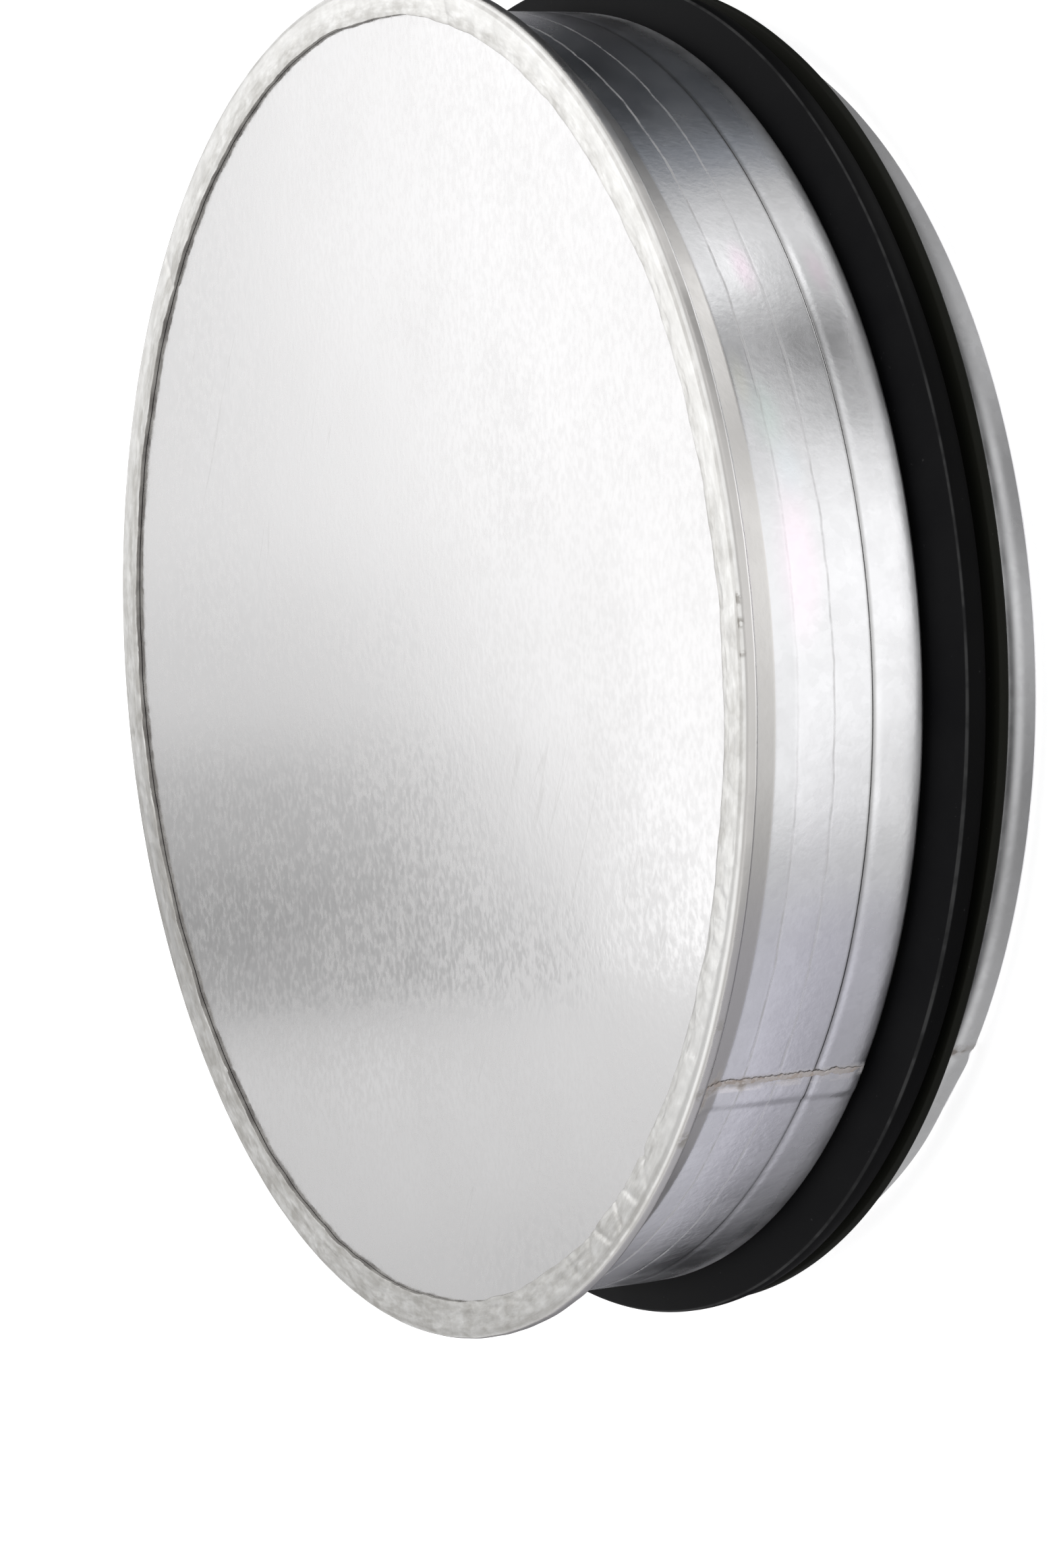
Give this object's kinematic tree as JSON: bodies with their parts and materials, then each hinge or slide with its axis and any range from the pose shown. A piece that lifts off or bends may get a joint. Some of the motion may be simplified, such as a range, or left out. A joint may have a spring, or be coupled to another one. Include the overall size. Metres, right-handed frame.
{
  "type": "duct end cap",
  "caption": "Round sheet-metal plug that closes a spiral duct: flat disc held in a folded rim, short rolled collar with a lap seam and a double-lip rubber seal.",
  "frame": {"origin": "centre of the open end, on the plane it stands on", "axes": "+Z along the cap's axis towards the closed face; -Y passes through the collar's lap seam"},
  "size_m": [0.1674, 0.1674, 0.0422],
  "materials": {
    "disc_sheet": "galvanised, semi-matte",
    "collar_sheet": "galvanised, satin",
    "seal_rubber": "satin"
  },
  "bodies": {
    "root": {"end_disc": "disc_sheet", "collar": "collar_sheet", "lip_seal": "seal_rubber"}
  },
  "joints": []
}
